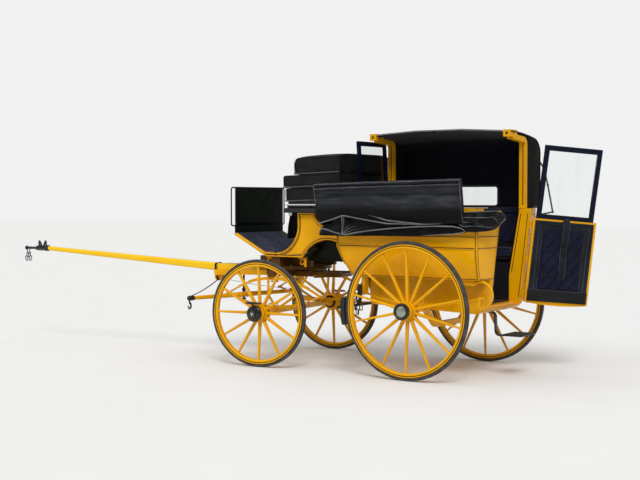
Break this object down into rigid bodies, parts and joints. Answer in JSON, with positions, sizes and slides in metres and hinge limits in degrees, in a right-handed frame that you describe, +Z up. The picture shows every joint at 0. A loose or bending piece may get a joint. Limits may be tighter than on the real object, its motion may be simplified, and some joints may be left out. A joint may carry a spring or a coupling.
{
  "type": "horse-drawn wagonette carriage",
  "caption": "Open-fronted wagonette carriage with folding leather half-heads, box seat, rear door, foot well, steered front carriage and a draught pole on wooden wheels",
  "frame": {"origin": "on the ground, in the middle of the overall length and width", "axes": "+X runs forward along the carriage towards the pole's tip, +Y to its left and +Z up"},
  "size_m": [6.3208, 1.7927, 2.19],
  "materials": {
    "yellow_wood": "glossy yellow coach paint over wood",
    "yellow_iron": "glossy yellow coach paint over iron",
    "rubber": "worn solid rubber band",
    "black_iron": "glossy black paint over iron",
    "black_leather": "glossy black leather with soft creases",
    "navy_cloth": "dark navy cloth, buttoned and piped",
    "navy_wood": "satin dark navy paint over wood",
    "black_wood": "glossy black paint over wood",
    "glass": "clear plate glass",
    "dark_wood": "dark stained wood"
  },
  "bodies": {
    "coach": {"belt_rails": "yellow_wood", "bench_cushions": "navy_cloth", "bench_squabs": "navy_cloth", "benches": "dark_wood", "body_mouldings": "yellow_wood", "body_sides": "yellow_wood", "boot_box": "black_leather", "boot_sides": "yellow_wood", "brake": "black_iron", "bulkhead": "yellow_wood", "dash": "black_leather", "dash_frame": "black_iron", "fold_bundle": "black_leather", "fold_panel": "black_leather", "foot_well": "yellow_wood", "front_sash": "navy_wood", "head_bows": "yellow_wood", "head_glass": "glass", "head_stay": "black_iron", "hinge_lugs": "yellow_iron", "hood_lining": "navy_cloth", "hood_right": "black_leather", "rear_axle": "yellow_iron", "rear_quarters": "yellow_wood", "rear_springs": "yellow_iron", "rear_step": "black_iron", "scroll_irons": "yellow_iron", "seat_board": "black_wood", "seat_fall": "black_leather", "seat_pads": "black_leather", "spring_hangers": "yellow_iron", "toe_board": "dark_wood", "upper_ring": "yellow_iron"},
    "front_carriage": {"front_axle": "yellow_iron", "front_bed": "yellow_wood", "front_springs": "yellow_iron", "futchells": "yellow_wood", "pole": "yellow_wood", "pole_irons": "black_iron"},
    "wheel_front_left": {"tyre_front_left": "rubber", "wheel_front_left": "yellow_wood"},
    "wheel_front_right": {"tyre_front_right": "rubber", "wheel_front_right": "yellow_wood"},
    "wheel_rear_left": {"tyre_rear_left": "rubber", "wheel_rear_left": "yellow_wood"},
    "wheel_rear_right": {"tyre_rear_right": "rubber", "wheel_rear_right": "yellow_wood"},
    "door": {"door_glass": "glass", "door_panel": "yellow_wood", "door_sash": "navy_wood", "door_trim": "navy_cloth"},
    "swing_bar": {"swing_bar": "yellow_wood"}
  },
  "joints": [
    {"name": "front_left_wheel", "type": "hinge", "parent": "front_carriage", "child": "wheel_front_left", "pos_m": [-0.37311, 0.77075, 0.5], "axis": [-0.1045, 0.9945, 0], "continuous": true},
    {"name": "rear_left_wheel", "type": "hinge", "parent": "coach", "child": "wheel_rear_left", "pos_m": [-1.9461, 0.775, 0.6], "axis": [0, 1, 0], "continuous": true},
    {"name": "front_right_wheel", "type": "hinge", "parent": "front_carriage", "child": "wheel_front_right", "pos_m": [-0.21109, -0.77075, 0.5], "axis": [-0.1045, 0.9945, 0], "continuous": true},
    {"name": "rear_right_wheel", "type": "hinge", "parent": "coach", "child": "wheel_rear_right", "pos_m": [-1.9461, -0.775, 0.6], "axis": [0, 1, 0], "continuous": true},
    {"name": "steering", "type": "hinge", "parent": "coach", "child": "front_carriage", "pos_m": [-0.2921, 0, 0.9], "axis": [0, 0, 1], "range_deg": [-38, 26]},
    {"name": "door_hinge", "type": "hinge", "parent": "coach", "child": "door", "pos_m": [-2.52989, -0.306, 0.64], "axis": [-0.1132, 0, 0.9936], "range_deg": [-132, 10]},
    {"name": "swing_bar_turn", "type": "hinge", "parent": "front_carriage", "child": "swing_bar", "pos_m": [0.33445, 0.06585, 0.6], "axis": [0, 0, 1], "range_deg": [-2, 36]}
  ]
}
